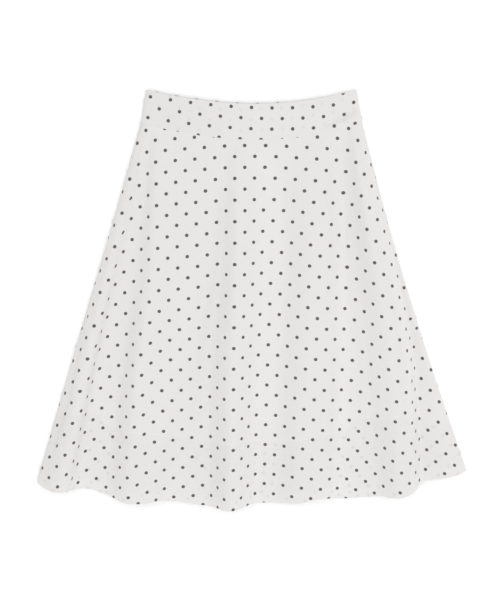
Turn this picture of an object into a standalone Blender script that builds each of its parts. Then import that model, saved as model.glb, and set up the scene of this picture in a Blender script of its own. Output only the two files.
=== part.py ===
"""Flared midi skirt with a shaped waistband, laid flat on its back.

The front lies over the back. Waist towards +Y, hem towards -Y, the surface it rests on at Z = 0.
Tables are in millimetres. Every wall is a middle surface with half its thickness on either side.
"""
import math

import bmesh
import bpy
import numpy as np

for old in list(bpy.data.objects):
    bpy.data.objects.remove(old, do_unlink=True)

MM = 0.001

# Walls, and the gaps that keep neighbouring pieces apart (mm)
PANEL_WALL = 1.2
BAND_WALL = 2.0
SEAM_GAP = 0.4
SIDE_GAP = 0.3

# The side edges roll: the back curls up to ROLL_TOP, the front comes down to meet it (mm)
ROLL_TOP = 3.6
FRONT_EDGE_Z = ROLL_TOP + SIDE_GAP

# Waist seam and top edge, seen from above (mm)
SEAM_MID_X = 12.0
SEAM_MID_Y = 263.2
SEAM_BEND_LEFT = 0.000785
SEAM_BEND_RIGHT = 0.000990
TOP_MID_X = 1.5
TOP_MID_Y = 320.2
TOP_HALF_WIDTH = 167.3
TOP_RISE = 21.4
TOP_BEND_LEFT = 1.72
TOP_BEND_RIGHT = 2.1
BACK_TOP_LIFT = 1.6
BACK_TOP_FLATNESS = 8

# Height of the front band's middle surface over the floor (mm)
BAND_HEIGHT_SEAM = 10.5
BAND_HEIGHT_TOP = 6.5
BAND_ROUNDING = 12.0

# How fast the folds grow below the seam: height follows this power of the way down
FOLD_GROWTH = 0.5

# Back hem: middle, rise to the side corners on the left and right, and the bend of each half (mm)
BACK_HEM_MID_Y = -341.5
BACK_HEM_BEND_LEFT = 1.85
BACK_HEM_BEND_RIGHT = 2.15

# Shares of the way from seam to hem at which the fold table gives its places
STATIONS = (0.0, 0.30, 0.65, 1.0)

# Folds of the front, left to right:
# name, x at seam, hip, thigh, hem, height at hip, thigh, hem, y at hem
FOLDS = (
    ("left_edge", -173.0, -227.6, -293.4, -358.2, 3.9, 3.9, 3.9, -310.0),
    ("left_crest", -169.6, -217.5, -270.5, -319.0, 18.0, 27.0, 30.0, -322.6),
    ("left_valley", -165.4, -194.3, -237.5, -279.0, 6.0, 5.2, 4.6, -323.0),
    ("left_valley_end", -158.0, -181.0, -216.0, -246.0, 9.0, 7.5, 6.5, -332.0),
    ("crest_1_start", -146.0, -152.0, -181.7, -203.0, 27.0, 33.0, 34.0, -342.4),
    ("crest_1_end", -63.6, -91.6, -142.5, -186.0, 28.0, 33.0, 35.0, -341.8),
    ("valley_1", -44.6, -61.3, -102.3, -134.9, 22.0, 22.0, 10.0, -343.0),
    ("valley_1_end", -38.2, -48.0, -71.0, -78.0, 17.5, 12.5, 9.0, -351.8),
    ("crest_2", -19.1, -22.5, -29.5, -33.5, 31.0, 40.0, 43.5, -350.2),
    ("valley_2", 24.0, 32.0, 22.0, 17.0, 9.5, 8.5, 7.5, -347.4),
    ("valley_2_end", 34.0, 50.0, 40.0, 36.0, 9.5, 8.5, 8.5, -347.2),
    ("crest_3", 98.6, 103.0, 93.9, 85.8, 25.0, 24.0, 21.0, -345.8),
    ("crest_3_end", 114.5, 119.1, 120.6, 111.7, 26.0, 26.0, 22.0, -338.2),
    ("valley_3", 144.6, 150.5, 157.1, 157.1, 5.0, 4.6, 4.2, -341.0),
    ("valley_3_end", 147.8, 156.3, 171.0, 187.7, 7.0, 6.0, 5.5, -339.0),
    ("crest_4_foot", 152.5, 169.0, 192.0, 214.0, 14.0, 13.0, 11.0, -334.8),
    ("crest_4", 162.0, 196.3, 235.6, 251.4, 32.0, 36.0, 34.0, -330.5),
    ("fold_slope", 169.0, 214.4, 256.7, 271.0, 25.0, 29.0, 26.0, -325.0),
    ("fold_lip", 172.6, 222.4, 271.0, 290.0, 14.0, 12.0, 11.0, -313.5),
    ("fold_tuck", 174.0, 223.2, 268.0, 283.0, 9.0, 5.6, 5.0, -311.5),
    ("low_crest", 175.8, 225.0, 283.4, 330.5, 6.5, 7.0, 11.0, -304.8),
    ("right_edge", 177.4, 226.0, 291.2, 362.8, 3.9, 3.9, 3.9, -291.3),
)

# Columns of the tables
X_SEAM, X_HIP, X_THIGH, X_HEM, Z_HIP, Z_THIGH, Z_HEM, Y_HEM = range(1, 9)

# Fineness: widths in mm, counts of rows and columns, crowding of the front's rows towards the seam
FRONT_COLUMN_WIDTH = 11.5
FRONT_ROWS = 26
FRONT_ROW_CROWDING = 1.3
BACK_COLUMNS = 30
BACK_ROWS = 16
BAND_COLUMNS = 32
BAND_ROWS = 4
ROLL_STEPS = 4
SHARP_ANGLE = 50.0


def fold_column(index):
    """One column of the fold table as an array."""
    return np.array([row[index] for row in FOLDS], float)


def seam_y(x):
    """Waist seam seen from above."""
    x = np.asarray(x, float)
    bend = np.where(x < SEAM_MID_X, SEAM_BEND_LEFT, SEAM_BEND_RIGHT)
    return SEAM_MID_Y + bend * (x - SEAM_MID_X) ** 2


def top_y(x):
    """Top edge of the front band seen from above."""
    share = (np.asarray(x, float) - TOP_MID_X) / TOP_HALF_WIDTH
    bend = np.where(share < 0.0, TOP_BEND_LEFT, TOP_BEND_RIGHT)
    return TOP_MID_Y + TOP_RISE * np.abs(share) ** bend


def rounded_height(distance, height):
    """Height of a band that rises from its side edge with a round shoulder."""
    inside = np.clip(1.0 - distance / BAND_ROUNDING, 0.0, 1.0)
    return FRONT_EDGE_Z + (height - FRONT_EDGE_Z) * np.sqrt(1.0 - inside ** 2)


def seam_height(x):
    """Height of the front's middle surface along the waist seam."""
    left = fold_column(X_SEAM)[0]
    right = fold_column(X_SEAM)[-1]
    distance = np.minimum(np.asarray(x) - left, right - np.asarray(x))
    return rounded_height(np.maximum(distance, 0.0), BAND_HEIGHT_SEAM)


def slopes(s, v, flat_ends=False):
    """Slopes of a monotone cubic through the points (s, v)."""
    h = np.diff(s)
    d = np.diff(v) / h
    m = np.zeros(len(v))
    for i in range(1, len(v) - 1):
        if d[i - 1] * d[i] > 0.0:
            w_1 = 2.0 * h[i] + h[i - 1]
            w_2 = h[i] + 2.0 * h[i - 1]
            m[i] = (w_1 + w_2) / (w_1 / d[i - 1] + w_2 / d[i])
    if not flat_ends:
        m[0] = d[0]
        m[-1] = d[-1]
    return m


def curve(s, v, at, flat_ends=False):
    """Monotone cubic through (s, v), read at the places in at."""
    m = slopes(s, v, flat_ends)
    i = np.clip(np.searchsorted(s, at, side="right") - 1, 0, len(s) - 2)
    h = s[i + 1] - s[i]
    t = (at - s[i]) / h
    a = (1.0 + 2.0 * t) * (1.0 - t) ** 2
    b = t * (1.0 - t) ** 2
    c = t * t * (3.0 - 2.0 * t)
    d = t * t * (t - 1.0)
    return a * v[i] + b * h * m[i] + c * v[i + 1] + d * h * m[i + 1]


def chord_lengths(x, z):
    """Distance run along the points of a row, from its first point."""
    return np.concatenate(([0.0], np.cumsum(np.hypot(np.diff(x), np.diff(z)))))


def fold_places(share):
    """Places and heights of all fold lines at one share of the way from seam to hem."""
    stations = np.array(STATIONS)
    x_table = np.array([fold_column(i) for i in (X_SEAM, X_HIP, X_THIGH, X_HEM)])
    x_seam = x_table[0]
    z_table = np.array([seam_height(x_seam)] + [fold_column(i) for i in (Z_HIP, Z_THIGH, Z_HEM)])
    grown = stations ** FOLD_GROWTH
    at = np.array([share])
    x = np.array([curve(stations, x_table[:, k], at)[0] for k in range(len(FOLDS))])
    z = np.array([curve(grown, z_table[:, k], at ** FOLD_GROWTH)[0] for k in range(len(FOLDS))])
    return x, z


def column_counts():
    """Columns between each pair of fold lines, from their distance at the hem."""
    x, z = fold_places(1.0)
    widths = np.hypot(np.diff(x), np.diff(z))
    return [max(2, int(round(width / FRONT_COLUMN_WIDTH))) for width in widths]


def row_stations(s, counts):
    """Even stations between fold lines, which keep a vertex on every fold line."""
    at = [s[0]]
    for k, count in enumerate(counts):
        at.extend(s[k] + (s[k + 1] - s[k]) * (j + 1) / count for j in range(count))
    return np.array(at)


def front_surface():
    """Middle surface of the front panel, rows from seam to hem."""
    counts = column_counts()
    hem_y = fold_column(Y_HEM)
    x_hem, z_hem = fold_places(1.0)
    hem_run = chord_lengths(x_hem, z_hem)
    hem_at = curve(hem_run, hem_y, row_stations(hem_run, counts))
    x_seam, z_seam = fold_places(0.0)
    seam_run = chord_lengths(x_seam, z_seam)
    seam_x = curve(seam_run, x_seam, row_stations(seam_run, counts), True)
    seam_at = seam_y(seam_x) - SEAM_GAP / 2.0
    rows = []
    for share in np.linspace(0.0, 1.0, FRONT_ROWS + 1) ** FRONT_ROW_CROWDING:
        x, z = fold_places(share)
        run = chord_lengths(x, z)
        at = row_stations(run, counts)
        row_x = curve(run, x, at, True)
        row_z = curve(run, z, at)
        row_y = seam_at + (hem_at - seam_at) * share
        rows.append(np.column_stack((row_x, row_y, row_z)))
    return np.array(rows)


def rolled_row(left, right, flat_z, columns):
    """x and z of a row that lies flat and curls up at both ends to ROLL_TOP."""
    radius = ROLL_TOP - flat_z
    angles = np.linspace(math.pi / 2.0, 0.0, ROLL_STEPS + 1)[:-1]
    curl_x = radius * (1.0 - np.sin(angles))
    curl_z = ROLL_TOP - radius * np.cos(angles)
    middle = np.linspace(left + radius, right - radius, columns + 1)
    x = np.concatenate((left + curl_x, middle, (right - curl_x)[::-1]))
    z = np.concatenate((curl_z, np.full(columns + 1, flat_z), curl_z[::-1]))
    return x, z


def back_hem_y(x, left, right, left_y, right_y):
    """Back hem seen from above: lowest in the middle, rising to both side corners."""
    left_rise = (left_y - BACK_HEM_MID_Y) * np.abs(np.minimum(x, 0.0) / left) ** BACK_HEM_BEND_LEFT
    right_rise = (right_y - BACK_HEM_MID_Y) * (np.maximum(x, 0.0) / right) ** BACK_HEM_BEND_RIGHT
    return BACK_HEM_MID_Y + left_rise + right_rise


def back_surface():
    """Middle surface of the back panel, rows from seam to hem, sides under the front's sides."""
    flat_z = PANEL_WALL / 2.0
    x_hem = fold_column(X_HEM)
    hem_y = fold_column(Y_HEM)
    x_seam = fold_column(X_SEAM)
    seam_x = rolled_row(x_seam[0], x_seam[-1], flat_z, BACK_COLUMNS)[0]
    seam_at = seam_y(seam_x) - SEAM_GAP / 2.0
    hem_x = rolled_row(x_hem[0], x_hem[-1], flat_z, BACK_COLUMNS)[0]
    hem_at = back_hem_y(hem_x, x_hem[0], x_hem[-1], hem_y[0], hem_y[-1])
    rows = []
    for share in np.linspace(0.0, 1.0, BACK_ROWS + 1):
        sides = fold_places(share)[0]
        x, z = rolled_row(sides[0], sides[-1], flat_z, BACK_COLUMNS)
        y = seam_at + (hem_at - seam_at) * share
        rows.append(np.column_stack((x, y, z)))
    return np.array(rows)


def band_columns(half_width):
    """Places across a band, closer together where its side edges round over."""
    ends = BAND_ROUNDING * (1.0 - np.cos(np.linspace(0.0, math.pi / 2.0, ROLL_STEPS + 1)))
    middle = np.linspace(ends[-1], 2.0 * half_width - ends[-1], BAND_COLUMNS + 1)
    return np.concatenate((ends[:-1], middle, (2.0 * half_width - ends[:-1])[::-1]))


def front_band_surface():
    """Middle surface of the front band, rows from the top edge to the seam."""
    x_seam = fold_column(X_SEAM)
    seam_half = (x_seam[-1] - x_seam[0]) / 2.0
    seam_x = x_seam[0] + band_columns(seam_half)
    top_across = band_columns(TOP_HALF_WIDTH)
    top_x = TOP_MID_X - TOP_HALF_WIDTH + top_across
    top_z = rounded_height(np.minimum(top_across, top_across[::-1]), BAND_HEIGHT_TOP)
    seam_z = seam_height(seam_x)
    top = np.column_stack((top_x, top_y(top_x), top_z))
    seam = np.column_stack((seam_x, seam_y(seam_x) + SEAM_GAP / 2.0, seam_z))
    shares = np.linspace(0.0, 1.0, BAND_ROWS + 1)
    return np.array([top + (seam - top) * share for share in shares])


def back_band_surface():
    """Middle surface of the back band, flat on the floor with its ends curled up."""
    flat_z = BAND_WALL / 2.0
    x_seam = fold_column(X_SEAM)
    seam_x, seam_z = rolled_row(x_seam[0], x_seam[-1], flat_z, BAND_COLUMNS)
    top_x = rolled_row(TOP_MID_X - TOP_HALF_WIDTH, TOP_MID_X + TOP_HALF_WIDTH, flat_z, BAND_COLUMNS)[0]
    inside = 1.0 - (np.abs(top_x - TOP_MID_X) / TOP_HALF_WIDTH) ** BACK_TOP_FLATNESS
    top = np.column_stack((top_x, top_y(top_x) + BACK_TOP_LIFT * inside, seam_z))
    seam = np.column_stack((seam_x, seam_y(seam_x) + SEAM_GAP / 2.0, seam_z))
    shares = np.linspace(0.0, 1.0, BAND_ROWS + 1)
    return np.array([top + (seam - top) * share for share in shares])


def surface_normals(points, seam_row):
    """Upward unit normals. End faces at the seam stand upright, those at the sides lie level."""
    down = np.gradient(points, axis=0)
    across = np.gradient(points, axis=1)
    normals = np.cross(down, across)
    normals[seam_row, :, 1] = 0.0
    normals[:, (0, -1), 2] = 0.0
    normals /= np.linalg.norm(normals, axis=2)[:, :, None]
    return normals


def add_wall(name, points, wall, seam_row, material):
    """A closed wall around a grid of middle-surface points (mm)."""
    normals = surface_normals(points, seam_row)
    upper = points + normals * wall / 2.0
    lower = points - normals * wall / 2.0
    rows, columns = points.shape[:2]
    mesh = bmesh.new()
    sheets = []
    for sheet in (upper, lower):
        sheets.append([[mesh.verts.new(point * MM) for point in row] for row in sheet])
    top, bottom = sheets
    for i in range(rows - 1):
        for j in range(columns - 1):
            mesh.faces.new((top[i][j], top[i + 1][j], top[i + 1][j + 1], top[i][j + 1]))
            mesh.faces.new((bottom[i][j], bottom[i][j + 1], bottom[i + 1][j + 1], bottom[i + 1][j]))
    rim = [(0, j) for j in range(columns)]
    rim += [(i, columns - 1) for i in range(1, rows)]
    rim += [(rows - 1, j) for j in range(columns - 2, -1, -1)]
    rim += [(i, 0) for i in range(rows - 2, 0, -1)]
    for (i, j), (k, l) in zip(rim, rim[1:] + rim[:1]):
        mesh.faces.new((top[i][j], top[k][l], bottom[k][l], bottom[i][j]))
    bmesh.ops.recalc_face_normals(mesh, faces=mesh.faces)
    bmesh.ops.triangulate(mesh, faces=mesh.faces)
    data = bpy.data.meshes.new(name)
    mesh.to_mesh(data)
    mesh.free()
    data.shade_smooth()
    data.set_sharp_from_angle(angle=math.radians(SHARP_ANGLE))
    data.materials.append(material)
    item = bpy.data.objects.new(name, data)
    bpy.context.collection.objects.link(item)
    return item


def cloth_material(name, colour, roughness):
    """A plain matt cloth."""
    material = bpy.data.materials.new(name)
    material.use_nodes = True
    shader = material.node_tree.nodes["Principled BSDF"]
    shader.inputs["Base Color"].default_value = (*colour, 1.0)
    shader.inputs["Roughness"].default_value = roughness
    shader.inputs["Metallic"].default_value = 0.0
    return material


OFF_WHITE = (0.80, 0.79, 0.77)
panels_cloth = cloth_material("panel_cloth", OFF_WHITE, 0.85)
band_cloth = cloth_material("band_cloth", OFF_WHITE, 0.80)
back_cloth = cloth_material("back_cloth", OFF_WHITE, 0.85)
back_band_cloth = cloth_material("back_band_cloth", OFF_WHITE, 0.80)

PIECES = (
    ("front_panel", front_surface(), PANEL_WALL, 0, panels_cloth),
    ("back_panel", back_surface(), PANEL_WALL, 0, back_cloth),
    ("front_waistband", front_band_surface(), BAND_WALL, -1, band_cloth),
    ("back_waistband", back_band_surface(), BAND_WALL, -1, back_band_cloth),
)

items = [add_wall(*piece) for piece in PIECES]

# The skirt's box is centred over the origin, its lowest point on the floor
corners = np.array([item.matrix_world @ vertex.co for item in items for vertex in item.data.vertices])
low = corners.min(axis=0)
high = corners.max(axis=0)
middle = ((low[0] + high[0]) / 2.0, (low[1] + high[1]) / 2.0, low[2])
for item in items:
    for vertex in item.data.vertices:
        vertex.co = [vertex.co[k] - middle[k] for k in range(3)]
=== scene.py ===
"""Looks of a flared midi skirt laid flat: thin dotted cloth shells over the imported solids.

Tables and cloth sizes are in millimetres in the plan of the solids: waist towards +Y, hem towards -Y,
the surface it lies on at Z = 0. Meshes, lights and the camera are in metres, in the row frame.
"""

import math

import bpy
import numpy as np
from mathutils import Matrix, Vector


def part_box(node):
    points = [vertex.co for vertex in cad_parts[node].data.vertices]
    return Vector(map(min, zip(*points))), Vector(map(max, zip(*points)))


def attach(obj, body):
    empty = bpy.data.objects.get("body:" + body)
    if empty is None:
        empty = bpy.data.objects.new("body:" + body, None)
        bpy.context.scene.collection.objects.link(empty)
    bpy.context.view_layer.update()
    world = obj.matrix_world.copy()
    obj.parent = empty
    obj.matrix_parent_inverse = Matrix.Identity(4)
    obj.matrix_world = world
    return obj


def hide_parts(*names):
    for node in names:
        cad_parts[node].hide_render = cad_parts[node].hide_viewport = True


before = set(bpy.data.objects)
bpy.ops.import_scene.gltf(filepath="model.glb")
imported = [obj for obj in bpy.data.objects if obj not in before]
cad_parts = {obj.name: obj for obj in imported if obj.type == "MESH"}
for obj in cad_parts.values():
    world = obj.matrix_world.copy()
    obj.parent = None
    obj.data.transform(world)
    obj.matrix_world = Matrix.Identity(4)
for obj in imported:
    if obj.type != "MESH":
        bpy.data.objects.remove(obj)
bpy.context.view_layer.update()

MM = 0.001

# Cloth walls (mm): the panels, their turned-up hem, and the doubled waistband, thinner at its top edge
PANEL_WALL = 0.9
HEM_WALL = 1.15
HEM_TURN_UP = 18.0
HEM_STEP = 1.5
BAND_WALL = 1.7
BAND_TOP_THINNER = 0.35
BAND_TOP_REACH = 2.5

# Gaps that keep neighbouring pieces apart (mm)
SEAM_GAP = 0.01
SIDE_GAP = 0.3

# The side edges roll: the back curls up to ROLL_TOP, the front comes down to meet it (mm)
ROLL_TOP = 3.6
FRONT_EDGE_Z = ROLL_TOP + SIDE_GAP
BACK_MID_Z = 0.6
BACK_BAND_MID_Z = 1.0

# Waist seam and top edge, seen from above (mm)
SEAM_MID_X = 12.0
SEAM_MID_Y = 263.2
SEAM_BEND_LEFT = 0.000785
SEAM_BEND_RIGHT = 0.000990
TOP_MID_X = 1.8
TOP_MID_Y = 319.6
TOP_HALF_WIDTH = 166.0
TOP_RISE = 21.4
TOP_BEND_LEFT = 1.72
TOP_BEND_RIGHT = 2.1
BACK_TOP_LIFT = 0.3
BACK_TOP_FLATNESS = 8

# Height of the front band's middle surface over the floor, and the fall or rise of the top edges (mm)
BAND_HEIGHT_SEAM = 10.5
BAND_HEIGHT_TOP = 6.5
TOP_EDGE_FALL = 1.0
BACK_TOP_EDGE_RISE = 1.3
TOP_EDGE_REACH = 7.0
BAND_ROUNDING = 12.0

# How fast the folds grow below the seam: height follows this power of the way down, after a soft start
FOLD_GROWTH = 0.5
SOFT_START = 0.012

# Back hem: middle, and the bend of each half (mm)
BACK_HEM_MID_Y = -341.5
BACK_HEM_BEND_LEFT = 1.85
BACK_HEM_BEND_RIGHT = 2.15

# Shares of the way from seam to hem at which the fold table gives its places
STATIONS = (0.0, 0.30, 0.65, 1.0)

# Folds of the front, left to right, as in the solids, but steeper at the outer two and gentler at the
# third: name, x at seam, hip, thigh, hem, height at hip, thigh, hem, y at hem
FOLDS = (
    ("left_edge", -173.0, -227.6, -293.4, -358.2, 3.9, 3.9, 3.9, -310.0),
    ("left_crest", -169.6, -217.5, -270.5, -319.0, 18.0, 27.0, 30.0, -322.6),
    ("left_shoulder", -168.4, -210.8, -262.0, -308.0, 16.4, 23.2, 25.0, -322.7),
    ("left_foot", -167.2, -204.0, -252.5, -297.0, 11.4, 11.6, 12.2, -322.9),
    ("left_valley", -165.4, -194.3, -237.5, -279.0, 6.0, 5.2, 4.6, -323.0),
    ("left_valley_end", -158.0, -181.0, -216.0, -246.0, 9.0, 7.5, 6.5, -332.0),
    ("crest_1_start", -146.0, -152.0, -181.7, -203.0, 27.0, 33.0, 34.0, -340.4),
    ("crest_1_end", -63.6, -91.6, -142.5, -186.0, 28.0, 33.0, 35.0, -340.6),
    ("valley_1", -44.6, -61.3, -102.3, -134.9, 22.0, 22.0, 10.0, -343.0),
    ("valley_1_end", -38.2, -48.0, -71.0, -78.0, 17.5, 12.5, 9.0, -351.8),
    ("crest_2", -19.1, -22.5, -29.5, -33.5, 31.0, 40.0, 43.5, -350.2),
    ("valley_2", 24.0, 32.0, 22.0, 17.0, 9.5, 8.5, 7.5, -347.4),
    ("valley_2_end", 34.0, 50.0, 40.0, 36.0, 9.5, 8.5, 8.5, -347.2),
    ("crest_3", 98.6, 103.0, 93.9, 85.8, 25.0, 24.0, 21.0, -344.6),
    ("crest_3_end", 114.5, 119.1, 120.6, 111.7, 23.0, 23.0, 21.0, -336.4),
    ("valley_3", 144.6, 152.5, 160.1, 157.1, 8.5, 7.0, 5.0, -341.0),
    ("valley_3_end", 147.8, 158.3, 172.0, 187.7, 9.5, 7.6, 6.0, -339.0),
    ("crest_4_foot", 152.5, 169.0, 192.0, 214.0, 14.0, 13.0, 11.0, -334.8),
    ("crest_4", 162.0, 196.3, 235.6, 251.4, 32.0, 36.0, 34.0, -330.5),
    ("fold_slope", 169.0, 214.4, 258.5, 273.0, 25.0, 27.5, 25.0, -325.0),
    ("fold_lip", 172.6, 222.0, 268.6, 286.0, 14.0, 12.5, 11.5, -312.5),
    ("fold_tuck", 174.0, 223.6, 273.0, 291.0, 9.0, 7.2, 7.2, -309.8),
    ("low_crest", 175.8, 225.0, 283.4, 330.5, 6.5, 7.0, 11.0, -302.8),
    ("right_edge", 177.4, 226.0, 291.2, 362.8, 3.9, 3.9, 3.9, -291.3),
)

# Columns of the fold table
X_SEAM, X_HIP, X_THIGH, X_HEM, Z_HIP, Z_THIGH, Z_HEM, Y_HEM = range(1, 9)

# Small puckers under the waist seam: x at the seam, depth, half width, length, drift (mm)
PUCKERS = (
    ("left_side", -109.0, -0.8, 5.0, 46.0, -7.0),
    ("left_pair", -97.0, -0.6, 3.6, 34.0, -4.0),
    ("left_middle", -73.0, -0.9, 5.5, 58.0, -9.0),
    ("centre_left", -24.0, -0.7, 4.5, 40.0, -2.0),
    ("centre_right", 36.0, -0.9, 5.0, 52.0, 3.0),
    ("right_middle", 82.0, -0.8, 4.6, 44.0, 4.0),
    ("right_side", 124.0, -0.6, 4.0, 36.0, 6.0),
)

# Soft creases of the front panel: from x, y to x, y, height (a trough is negative), half width (mm)
PANEL_CREASES = (
    ("left_edge_roll", -262.0, 2.0, -344.0, -300.0, -3.4, 3.2),
    ("left_drag", -232.0, 60.0, -300.0, -210.0, 0.9, 9.0),
    ("crest_1_ridge", -95.0, 170.0, -196.0, -320.0, 0.9, 16.0),
    ("crest_1_dent", -150.0, 30.0, -168.0, -240.0, -0.9, 14.0),
    ("centre_ridge", -16.0, 215.0, -30.0, -60.0, 0.8, 9.0),
    ("centre_dent", 4.0, -40.0, -6.0, -330.0, -0.8, 12.0),
    ("right_soft_fold", 66.0, 190.0, 62.0, -120.0, 0.9, 12.0),
    ("right_dent", 118.0, 60.0, 100.0, -250.0, -0.7, 11.0),
    ("far_right_ridge", 196.0, -40.0, 214.0, -300.0, 0.7, 10.0),
)

# Creases of the front band
BAND_CREASES = (
    ("right_pull", 186.0, 321.0, 108.0, 280.0, -3.0, 4.0),
    ("right_pull_ridge", 184.0, 309.0, 120.0, 270.0, 1.3, 4.4),
    ("left_pull", -180.0, 304.0, -120.0, 285.0, -0.9, 5.0),
    ("left_dent", -160.0, 312.0, -120.0, 291.0, -0.4, 5.0),
    ("middle_dent", -30.0, 300.0, 34.0, 290.0, -0.3, 9.0),
)

# Creases of the back panel, which lies on its printed side
BACK_CREASES = (
    ("back_left", -60.0, 180.0, -120.0, -200.0, 0.35, 9.0),
    ("back_centre", 10.0, 150.0, 14.0, -240.0, 0.3, 12.0),
    ("back_right", 90.0, 190.0, 150.0, -180.0, 0.35, 8.0),
)

# How far a crease bows, and where it fades in and out (shares of its length)
CREASE_BOW = 0.02
CREASE_FADE_IN = (-0.05, 0.25)
CREASE_FADE_OUT = (0.75, 1.05)

# Crossing waves of relaxed cloth: share of the height, turns across and down, start
WAVES = ((1.0, 2.1, 0.6, 0.4), (0.7, -1.3, 1.9, 2.1), (0.5, 3.7, -0.8, 4.0), (0.4, 0.9, 4.1, 1.2))

# Height and length of the waves on the front panel and the front band (mm)
PANEL_WAVES = (0.5, 38.0)
BAND_WAVES = (0.25, 30.0)

# How far from an edge the relief reaches its full height (mm), or from where to where
WAVES_BELOW_SEAM = 60.0
PUCKERS_BELOW_SEAM = 6.0
PANEL_FROM_SIDE = 6.0
BAND_FROM_SIDE = 10.0
BAND_FROM_SEAM = 9.0
BACK_FROM_SIDE = (10.0, 40.0)
BACK_BAND_FROM_SIDE = (4.0, 20.0)

# The seam draws the cloth down a little on both sides, and the panel thickens towards it (mm)
SEAM_DIP = 0.05
SEAM_DIP_REACH = 5.0
SEAM_THICK_REACH = 7.0

# Fineness of the shells (widths in mm, counts of rows and columns), and the rim's angle and bulge
FRONT_COLUMN_WIDTH = 3.7
FRONT_ROWS = 150
FRONT_ROW_CROWDING = 1.15
BACK_COLUMNS = 120
BACK_ROWS = 90
BAND_COLUMNS = 180
BAND_ROWS = 26
ROLL_STEPS = 7
RIM_ANGLE = math.radians(40.0)
RIM_BULGE = 0.5

# Laying a folded panel out flat: rough grid and rounds, then rounds on the full grid
ROUGH_ROWS = 21
ROUGH_COLUMNS = 101
ROUGH_ROUNDS = 1500
FINE_ROUNDS = 160
RELAX = 0.8

# The print: half-drop dots (mm), with the steps across and down, where one dot sits on the front, and how
# the repeat lies on the cloth: it leans, spreads towards the hem and bows up at the sides
PANEL_STEPS = (31.14, 34.42)
DOT_RADIUS = 2.84
DOT_SOFTNESS = 0.12
DOT_RAGGED = 0.5
DOT_PLACE_X = 6.3
DOT_PLACE_Y = 167.9
PRINT_LEAN = 0.0037
PRINT_TILT = -0.0052
PRINT_SPREAD = 0.0000566
PRINT_BOW = 0.000209

# Cloth taken up inside the steep folds: the two fold lines, what the print gains between them across and up
# (mm), and the shares of the way to the hem at which this is nothing and at which it is full
PRINT_EASES = (
    ("left_foot", "left_shoulder", 0.0, 4.5, 0.0, 0.2),
    ("left_foot", "left_shoulder", -8.5, 3.5, 0.25, 0.65),
    ("crest_1_start", "crest_1_end", 0.0, -5.5, 0.42, 0.66),
    ("crest_1_end", "valley_1", 0.0, 5.5, 0.42, 0.66),
    ("crest_2", "crest_3_end", -6.5, 0.0, 0.32, 0.02),
    ("crest_3", "crest_4", -4.0, 0.0, 0.26, 0.02),
    ("fold_slope", "fold_tuck", 11.0, -7.5, 0.5, 0.62),
)

# The print on the bands (mm): one dot's place, the steps, how its rows run, and how the facing's dots and
# the back band's lie against it
BAND_DOT_X = 2.5
BAND_DOT_Y = 313.6
BAND_STEPS = (32.75, 33.2)
BAND_ROW_SLOPE = -0.0415
BAND_ROW_BEND = 0.000476
BAND_ROW_TWIST = 0.00000045
BAND_PRINT_LEAN = 0.0311
BAND_PRINT_FAN = 0.00065
BAND_FAN_Y = 300.0
FACING_SHIFT = (17.8, 3.0, 0.0)
FACING_TURN_DEG = -3.7
BACK_BAND_SHIFT = (9.3, 6.8)

# The back panel's print (mm): one dot's place, the steps, and how the repeat lies on the panel
BACK_DOT_X = 29.1
BACK_DOT_Y = -6.2
BACK_STEPS = (32.5, 33.97)
BACK_PRINT_TURN_DEG = -4.6
BACK_PRINT_BOW = -0.000216

# Where the lining under the front ends, from left to right: place across at the hem, height above it (mm)
LINING_END = (
    (-300.0, 138.0), (-250.0, 119.0), (-195.0, 123.0), (-110.0, 113.0), (-20.0, 115.0), (15.0, 108.0),
    (100.0, 112.0), (152.0, 118.0), (180.0, 134.0), (240.0, 139.0), (275.0, 128.0), (320.0, 96.0),
)
BACK_LINING_END = 115.0

# Cloth colours (linear): a covered dot and a doubled edge are seen through the cloth above them
CLOTH_COLOUR = (0.693, 0.680, 0.668)
DOT_COLOUR = (0.106, 0.096, 0.096)
LINING_COLOUR = (0.74, 0.73, 0.715)
COVERED_DOT_COLOUR = (0.30, 0.30, 0.32)
DOUBLED_COLOUR = (0.86, 0.86, 0.86)
BLACK = (0.0, 0.0, 0.0)
FLOOR_COLOUR = (0.97, 0.97, 0.97)

# Finish of the cloth, outer and inner side
OUTER_ROUGHNESS = 0.82
INNER_ROUGHNESS = 0.78
CLOTH_SHINE = 0.25
CLOTH_FUZZ = 0.12
FUZZ_ROUGHNESS = 0.6
OUTER_RELIEF = 0.35
INNER_RELIEF = 0.25

# Weave (m), and unevenness of yarns, dots and tone: shares of the colour, and fineness per metre
WEAVE_THREAD = 0.00042
WEAVE_DEPTH = 0.00012
YARN_ALONG = 28.0
YARN_ACROSS = 1500.0
YARN_UNEVEN = 0.05
BROAD_UNEVEN = 0.02
BROAD_FINENESS = 11.0
FINE_UNEVEN = 0.012
FINE_FINENESS = 160.0
FINE_DETAIL = 3.0
RAGGED_FINENESS = 700.0

# Dots seen through cloth or from behind: softness (mm), share that shows, and shift of the turn-up's (mm)
COVERED_SOFTNESS = 0.9
FACING_SOFTNESS = 1.0
REVERSE_SOFTNESS = 0.8
HEM_DOTS_SHOWN = 0.14
FACING_DOTS_SHOWN = 0.09
REVERSE_SHOWN = 0.45
HEM_SHIFT = (9.0, 5.0, 0.0)

# The back's dots show through the front where it lies low: heights from and to (m), shares shown there
LYING_LOW = (0.007, 0.014)
BACK_DOTS_SHOWN = (0.17, 0.03)

# Edge of the turn-up (mm), from outside and inside, and how much paler the doubled hem is
COVERED_HEM_BLUR = 0.5
HEM_BLUR = 0.4
HEM_PALER = 0.05

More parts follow.
